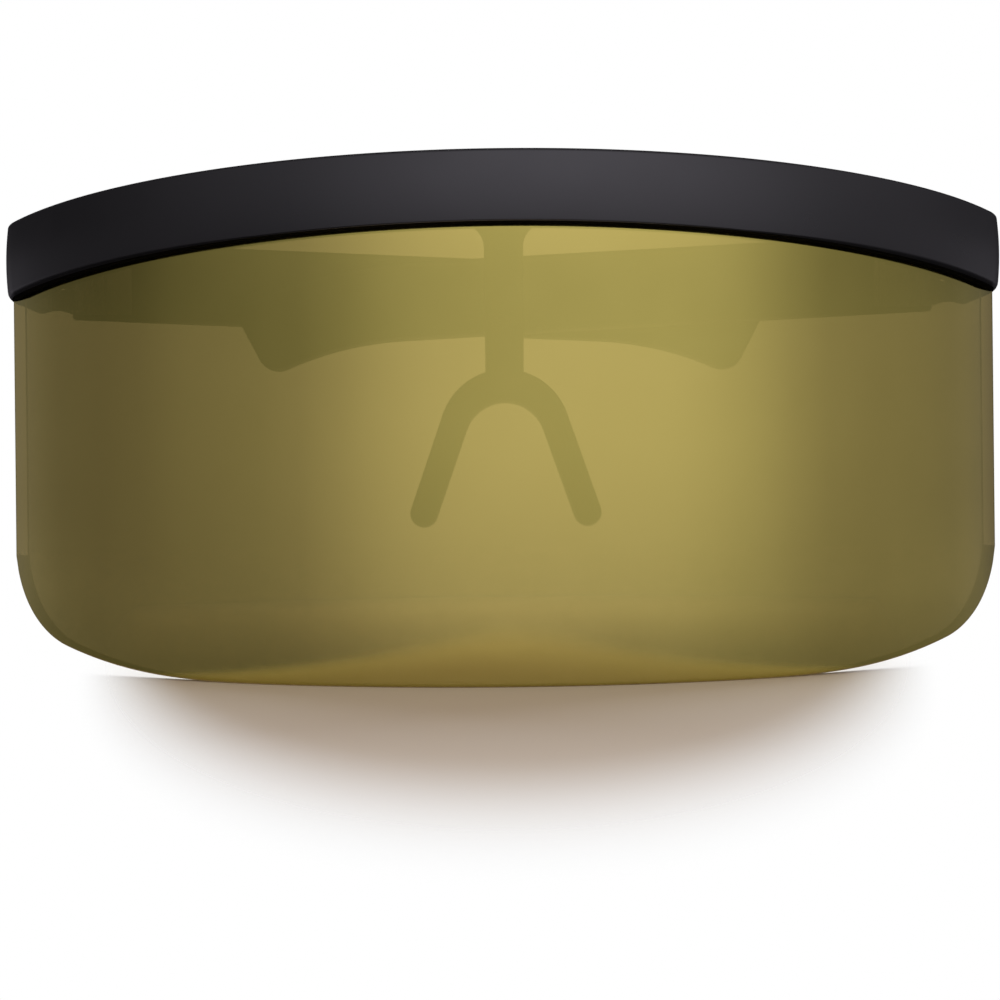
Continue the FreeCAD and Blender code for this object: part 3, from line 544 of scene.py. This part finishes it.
def make_nose_piece(plastic):
    """A rounded plate cut to its outline and bent: a foot behind the brow, a stem, an arch with two legs."""
    low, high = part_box("nose_piece")
    foot_low = high.z - NOSE_FOOT_HEIGHT
    foot_y = low.y + NOSE_FOOT_THICKNESS / 2
    steps = [NOSE_BEND_SMOOTH * i / NOSE_ARC_STEPS for i in range(-NOSE_ARC_STEPS, NOSE_ARC_STEPS + 1)]

    def corner_line(z):
        return foot_y * limited(z / foot_low) + max(0.0, -z) * NOSE_LEG_LEAN_SHARE

    def middle(z):
        return sum(corner_line(z + step) for step in steps) / len(steps)

    bm = nose_plate(low.z, high.z)
    for vert in bm.verts:
        thin = 1 + (NOSE_FOOT_THICKNESS / NOSE_RIBBON - 1) * limited(vert.co.z / foot_low)
        vert.co.y = middle(vert.co.z) + vert.co.y * thin
    bmesh.ops.recalc_face_normals(bm, faces=bm.faces[:])
    keep_flats(front_piece("nose_rest", mesh_of("nose_rest", bm), [plastic], "nose_piece"))


def new_material(name):
    """A material, its node tree and its main shader."""
    material = bpy.data.materials.new(name)
    material.use_nodes = True
    return material, material.node_tree, material.node_tree.nodes["Principled BSDF"]


def feed(tree, value, target):
    """Link an output to a socket, or set a fixed number or colour on it."""
    if isinstance(value, bpy.types.NodeSocket):
        tree.links.new(value, target)
    else:
        target.default_value = value


def show(tree, shader):
    """Make a shader the one that the surface shows."""
    feed(tree, shader.outputs[0], tree.nodes["Material Output"].inputs["Surface"])


def opaque(colour):
    """A colour with full cover."""
    return (*colour, 1.0)


def mapped(tree, value, source, target, curve="LINEAR"):
    """Map a value from one range to another."""
    spread = tree.nodes.new("ShaderNodeMapRange")
    spread.interpolation_type = curve
    for name, limit in zip(("From Min", "From Max", "To Min", "To Max"), (*source, *target)):
        spread.inputs[name].default_value = limit
    feed(tree, value, spread.inputs["Value"])
    return spread.outputs[0]


def calculated(tree, operation, first, second, kind="ShaderNodeMath"):
    """One step of arithmetic; each side is an output or a fixed value."""
    step = tree.nodes.new(kind)
    step.operation = operation
    feed(tree, first, step.inputs[0])
    feed(tree, second, step.inputs[1])
    return step.outputs[0]


def grain(tree, scale, stretch=EVEN_STRETCH_SHARES):
    """Noise over the object's own coordinates."""
    place = tree.nodes.new("ShaderNodeTexCoord")
    turn = tree.nodes.new("ShaderNodeMapping")
    turn.inputs["Scale"].default_value = stretch
    noise = tree.nodes.new("ShaderNodeTexNoise")
    noise.inputs["Scale"].default_value = scale
    noise.inputs["Detail"].default_value = GRAIN_DETAIL
    feed(tree, place.outputs["Object"], turn.inputs["Vector"])
    feed(tree, turn.outputs["Vector"], noise.inputs["Vector"])
    return noise.outputs["Fac"]


def tones(tree, noise, ends):
    """Map noise to colours between two tones."""
    ramp = tree.nodes.new("ShaderNodeValToRGB")
    for element, spot, colour in zip(ramp.color_ramp.elements, NOISE_SHARES, ends):
        element.position = spot
        element.color = opaque(colour)
    feed(tree, noise, ramp.inputs[0])
    return ramp.outputs["Color"]


def vary(tree, shader, noise, ends, roughness):
    """Let noise vary a shader's colour and roughness, each between two ends."""
    feed(tree, tones(tree, noise, ends), shader.inputs["Base Color"])
    feed(tree, mapped(tree, noise, NOISE_SHARES, roughness), shader.inputs["Roughness"])


def dent(tree, shader, noise, strength):
    """Give a shader's surface the fine bumps of a noise."""
    bump = tree.nodes.new("ShaderNodeBump")
    bump.inputs["Strength"].default_value = strength
    bump.inputs["Distance"].default_value = GRAIN_DEPTH
    feed(tree, noise, bump.inputs["Height"])
    feed(tree, bump.outputs["Normal"], shader.inputs["Normal"])


def facing_share(tree, shares, slant):
    """A mirror share that grows from a straight look to a slanted one and is full at a given slant."""
    facing = tree.nodes.new("ShaderNodeLayerWeight")
    facing.inputs["Blend"].default_value = FACING_BLEND_SHARE
    return mapped(tree, facing.outputs["Facing"], (0.0, slant), shares)


def mixed(tree, share, first, second):
    """A mix of two shaders; the share is the second one's."""
    mix = tree.nodes.new("ShaderNodeMixShader")
    feed(tree, share, mix.inputs["Fac"])
    feed(tree, first.outputs[0], mix.inputs[1])
    feed(tree, second.outputs[0], mix.inputs[2])
    return mix


def window(tree, colour):
    """A clear pane; its tint is an output or a fixed colour."""
    pane = tree.nodes.new("ShaderNodeBsdfTransparent")
    feed(tree, colour, pane.inputs["Color"])
    return pane


def painted_low_shade(tree, colour, drop):
    """A colour darkened towards the lens's lower edge: painted shade, in place of the dim floor that the
    lower lens would mirror.
    """
    place = tree.nodes.new("ShaderNodeTexCoord")
    height = tree.nodes.new("ShaderNodeSeparateXYZ")
    feed(tree, place.outputs["Object"], height.inputs[0])
    limits = (drop, drop + LENS_LOW_SHADE_HEIGHT)
    shade = mapped(tree, height.outputs["Z"], limits, (LENS_LOW_SHADE_SHARE, 1.0), "SMOOTHSTEP")
    scaled = tree.nodes.new("ShaderNodeVectorMath")
    scaled.operation = "SCALE"
    feed(tree, colour, scaled.inputs[0])
    feed(tree, shade, scaled.inputs["Scale"])
    return scaled.outputs[0]


def mirror_coat(drop):
    """Gold mirror film on tinted polycarbonate: part mirror, part window."""
    material, tree, gold = new_material("mirror_coat")
    film = grain(tree, FILM_GRAIN)
    gold.inputs["Metallic"].default_value = 1.0
    # The film's colour and, below, the window's tint carry painted shade near the lower edge.
    feed(tree, painted_low_shade(tree, tones(tree, film, COAT_TONES), drop), gold.inputs["Base Color"])
    feed(tree, mapped(tree, film, NOISE_SHARES, COAT_ROUGHNESS), gold.inputs["Roughness"])
    share = facing_share(tree, COAT_MIRROR_SHARES, COAT_SLANT_SHARE)
    show(tree, mixed(tree, share, window(tree, painted_low_shade(tree, LENS_TINT, drop)), gold))
    return material


def lens_back():
    """The clear back of the lens: a tinted window with a little gloss."""
    material, tree, gloss = new_material("lens_back")
    vary(tree, gloss, grain(tree, FILM_GRAIN), BACK_TONES, BACK_ROUGHNESS)
    share = facing_share(tree, BACK_MIRROR_SHARES, BACK_SLANT_SHARE)
    show(tree, mixed(tree, share, window(tree, opaque(LENS_TINT)), gloss))
    return material


def lens_rim():
    """The polished edge of the lens: dark, and lit a little by the light inside the sheet."""
    material, tree, gloss = new_material("lens_rim")
    film = grain(tree, RIM_GRAIN)
    vary(tree, gloss, film, RIM_TONES, RIM_ROUGHNESS)
    glow = tree.nodes.new("ShaderNodeBsdfTranslucent")
    feed(tree, tones(tree, film, RIM_TONES), glow.inputs["Color"])
    show(tree, mixed(tree, RIM_GLOW_SHARE, gloss, glow))
    return material


def black_plastic():
    """Satin moulded plastic with a fine grain."""
    material, tree, shader = new_material("black_plastic")
    shader.inputs["Specular IOR Level"].default_value = PLASTIC_GLOSS_SHARE
    vary(tree, shader, grain(tree, PLASTIC_BROAD_GRAIN), PLASTIC_TONES, PLASTIC_ROUGHNESS)
    dent(tree, shader, grain(tree, PLASTIC_FINE_GRAIN), PLASTIC_DENT_SHARE)
    return material


def lip_painted_shade():
    """Painted shade: a darker, duller copy of the black plastic for the underside of the brow bar and the
    inside of its slot.
    """
    material, tree, shader = new_material("lip_painted_shade")
    fine = grain(tree, LIP_GRAIN)
    shader.inputs["Specular IOR Level"].default_value = LIP_GLOSS_SHARE
    vary(tree, shader, fine, LIP_PAINTED_SHADE_TONES, LIP_ROUGHNESS)
    dent(tree, shader, fine, LIP_DENT_SHARE)
    return material


def brushed_steel():
    """Hinge and screw steel with drawn-out fine scratches."""
    material, tree, shader = new_material("hinge_steel")
    scratches = grain(tree, STEEL_GRAIN, STEEL_STRETCH_SHARES)
    shader.inputs["Metallic"].default_value = 1.0
    vary(tree, shader, scratches, STEEL_TONES, STEEL_ROUGHNESS)
    dent(tree, shader, scratches, STEEL_DENT_SHARE)
    return material


def dress(slot, material):
    """Give every CAD node of a material slot its finish."""
    for subpart in frame["record"]["subparts"]:
        if subpart["material_slot"] == slot:
            for place in frame["nodes"][subpart["node"]].material_slots:
                place.link = "OBJECT"
                place.material = material


def floor_white():
    """Pale matt floor paint that fades out, far from the object and where its shadow ends."""
    material, tree, shader = new_material("floor_white")
    shader.inputs["Base Color"].default_value = opaque(FLOOR_COLOUR)
    shader.inputs["Roughness"].default_value = FLOOR_ROUGHNESS
    place = tree.nodes.new("ShaderNodeTexCoord")
    distance = tree.nodes.new("ShaderNodeVectorMath")
    distance.operation = "LENGTH"
    feed(tree, place.outputs["Object"], distance.inputs[0])
    split = tree.nodes.new("ShaderNodeSeparateXYZ")
    feed(tree, place.outputs["Object"], split.inputs[0])
    square = calculated(tree, "MULTIPLY", split.outputs["X"], split.outputs["X"])
    spread = calculated(tree, "DIVIDE", square, FLOOR_FADE_LENGTH)
    ahead = calculated(tree, "SUBTRACT", spread, split.outputs["Y"])
    shadow_end = mapped(tree, ahead, FLOOR_FADE, (0.0, 1.0), "SMOOTHSTEP")
    ring = mapped(tree, distance.outputs["Value"], FLOOR_RING, (0.0, 1.0), "SMOOTHSTEP")
    fade = calculated(tree, "MAXIMUM", shadow_end, ring)
    show(tree, mixed(tree, fade, shader, window(tree, opaque(WHITE))))
    return material


def make_floor(level):
    """A pale floor under the object."""
    bpy.ops.mesh.primitive_plane_add(size=FLOOR_SIZE, location=(0, 0, level))
    floor = bpy.context.object
    floor.name = "floor"
    floor.data.materials.append(floor_white())


def by_share(tree, value, stops):
    """Map a value from -1 to 1 through stops of (value, level)."""
    ramp = tree.nodes.new("ShaderNodeValToRGB")
    feed(tree, mapped(tree, value, (-1.0, 1.0), (0.0, 1.0)), ramp.inputs[0])
    elements = ramp.color_ramp.elements
    elements.remove(elements[-1])
    for index, (spot, level) in enumerate(stops):
        element = elements[0] if index == 0 else elements.new((spot + 1) / 2)
        element.color = (level, level, level, 1)
    return ramp.outputs["Color"]


def combined(tree, operation, first, second):
    """One step of arithmetic on colours."""
    return calculated(tree, operation, first, second, "ShaderNodeVectorMath")


def soft_light(tree, turn, levels, rise_shares):
    """Brightness by height and by the angle from a level way, given as its turn from straight ahead."""
    place = tree.nodes.new("ShaderNodeTexCoord")
    towards = tree.nodes.new("ShaderNodeVectorMath")
    towards.operation = "DOT_PRODUCT"
    towards.inputs[1].default_value = (math.sin(turn), -math.cos(turn), 0)
    feed(tree, place.outputs["Generated"], towards.inputs[0])
    height = tree.nodes.new("ShaderNodeSeparateXYZ")
    feed(tree, place.outputs["Generated"], height.inputs[0])
    stops = [(math.cos(math.radians(angle)), level) for angle, level in levels]
    around = by_share(tree, towards.outputs["Value"], stops)
    return combined(tree, "MULTIPLY", around, by_share(tree, height.outputs["Z"], rise_shares))


def chosen(tree, factor, first, second):
    """The second colour where the factor is 1, else the first; each is an output or a fixed colour."""
    mix = tree.nodes.new("ShaderNodeMix")
    mix.data_type = "RGBA"
    feed(tree, factor, mix.inputs["Factor"])
    feed(tree, first, mix.inputs["A"])
    feed(tree, second, mix.inputs["B"])
    return mix.outputs["Result"]


def make_world():
    """White behind the object for the camera and through glass; mirrors see a soft panel in a dim room."""
    world = bpy.data.worlds.new("studio")
    bpy.context.scene.world = world
    world.use_nodes = True
    tree = world.node_tree
    panel = soft_light(tree, PANEL_TURN, PANEL_LEVELS, PANEL_RISE_SHARES)
    glow = soft_light(tree, GLOW_TURN, GLOW_LEVELS, GLOW_RISE_SHARES)
    table = soft_light(tree, TABLE_TURN, TABLE_LEVELS, TABLE_RISE_SHARES)
    lights = combined(tree, "ADD", combined(tree, "ADD", panel, glow), table)
    studio = combined(tree, "MULTIPLY", lights, STUDIO_TINT)
    seen = tree.nodes.new("ShaderNodeLightPath").outputs
    lit = chosen(tree, seen["Is Diffuse Ray"], studio, opaque(FILL_COLOUR))
    clear = calculated(tree, "MAXIMUM", seen["Is Camera Ray"], seen["Is Transmission Ray"])
    background = tree.nodes["Background"]
    feed(tree, chosen(tree, clear, lit, opaque(WHITE)), background.inputs["Color"])
    background.inputs["Strength"].default_value = BACKGROUND_STRENGTH


def make_key():
    """A wide soft light behind and above, which throws the shadow forwards and isn't seen in mirrors."""
    light = bpy.data.lights.new("key", "AREA")
    light.shape = "RECTANGLE"
    light.size = KEY_WIDTH
    light.size_y = KEY_HEIGHT
    light.energy = KEY_POWER
    light.color = KEY_COLOUR
    item = new_object("key", light)
    item.location = KEY_PLACE
    item.rotation_euler = (Vector(KEY_TARGET) - Vector(KEY_PLACE)).to_track_quat("-Z", "Y").to_euler()
    item.visible_glossy = False


def make_camera():
    """A level camera in front of the lens."""
    camera = bpy.data.cameras.new("camera")
    camera.sensor_width = SENSOR
    camera.lens = FOCAL_PIXELS / IMAGE_PIXELS * SENSOR
    camera.clip_start = CAMERA_NEAR
    item = new_object("camera", camera)
    item.location = (CAMERA_SIDE, -CAMERA_STANDOFF, CAMERA_HEIGHT)
    item.rotation_mode = "ZXY"
    item.rotation_euler = (QUARTER, 0, CAMERA_ROLL)
    bpy.context.scene.camera = item


plastic = black_plastic()
dress("black_plastic", plastic)
dress("steel", brushed_steel())
make_brow_bar(plastic, lip_painted_shade())
make_lens()
make_nose_piece(plastic)
make_floor(cad_bounds[0][2])
make_world()
make_key()
make_camera()
bpy.context.scene.view_settings.view_transform = "Standard"
